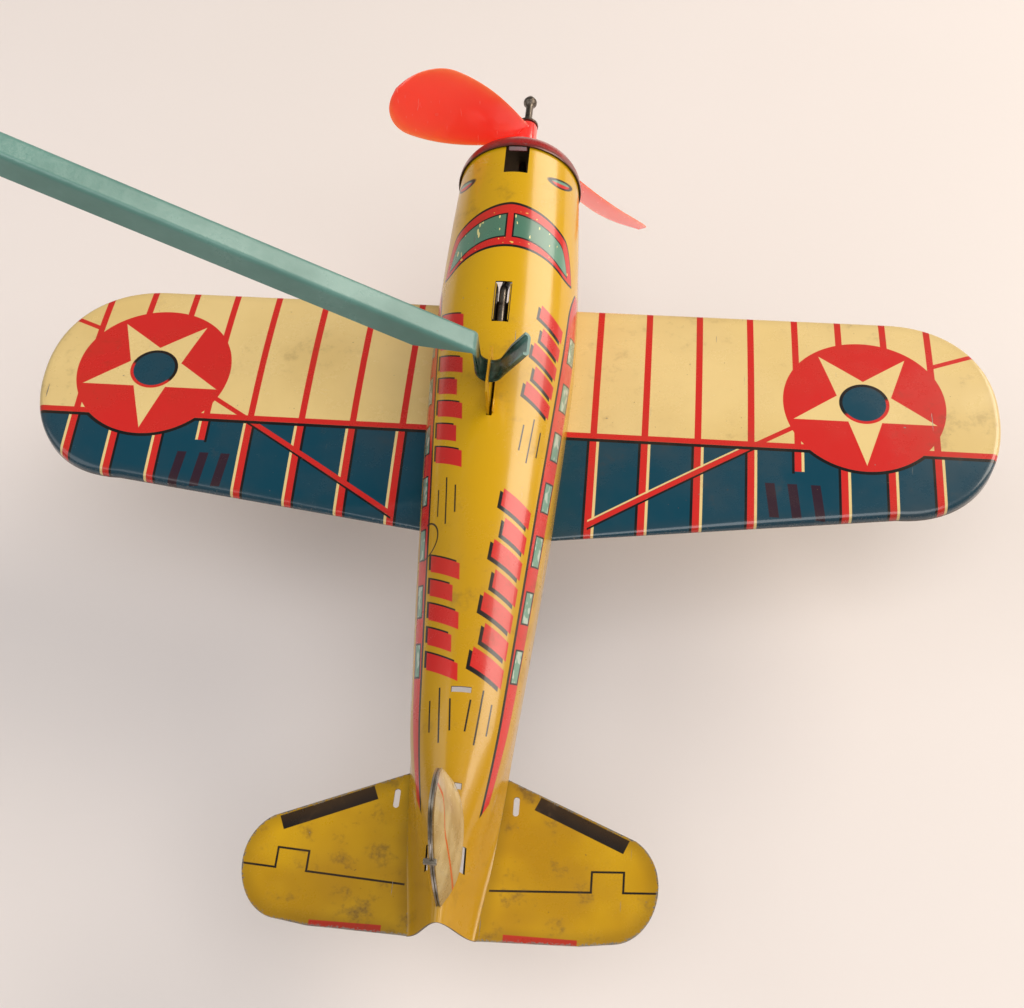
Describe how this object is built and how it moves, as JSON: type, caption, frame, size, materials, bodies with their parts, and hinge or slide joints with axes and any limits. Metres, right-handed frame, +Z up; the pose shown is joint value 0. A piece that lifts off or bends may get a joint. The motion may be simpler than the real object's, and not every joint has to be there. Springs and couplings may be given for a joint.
{
  "type": "toy airplane",
  "caption": "Pressed-tin toy monoplane with a free-spinning plastic propeller, hung by an eye on its back from the hooked arm of a carousel tower.",
  "frame": {"origin": "centre of the pivot bore at the outer end of the tower arm", "axes": "+X towards the airplane's right wing, +Y along the bore and towards the airplane's nose, +Z up"},
  "size_m": [0.1905, 0.1814, 0.0907],
  "materials": {
    "yellow_tin": "glossy printed tinplate, worn at the edges",
    "wing_tin": "glossy printed tinplate, cream and dark blue with red lines",
    "fin_tin": "glossy off-white printed tinplate",
    "cap_enamel": "satin red enamel",
    "arm_enamel": "gloss pale green enamel",
    "red_plastic": "glossy translucent red-orange plastic",
    "steel_wire": "dull, darkened steel wire"
  },
  "bodies": {
    "arm": {"tower_arm": "arm_enamel"},
    "airplane": {"fuselage_shell": "yellow_tin", "wing": "wing_tin", "hanger_bracket": "yellow_tin", "tail_fin": "fin_tin", "nose_cap": "cap_enamel", "propeller_shaft": "steel_wire", "shaft_washer": "steel_wire"},
    "propeller": {"propeller": "red_plastic"}
  },
  "joints": [
    {"name": "hanger_swing", "type": "hinge", "parent": "arm", "child": "airplane", "pos_m": [0.08563, 0, -0.05456], "axis": [0, 1, 0], "range_deg": [-30, 15]},
    {"name": "propeller_spin", "type": "hinge", "parent": "airplane", "child": "propeller", "pos_m": [0.08603, 0.0708, -0.06604], "axis": [0, 1, 0], "continuous": true}
  ]
}
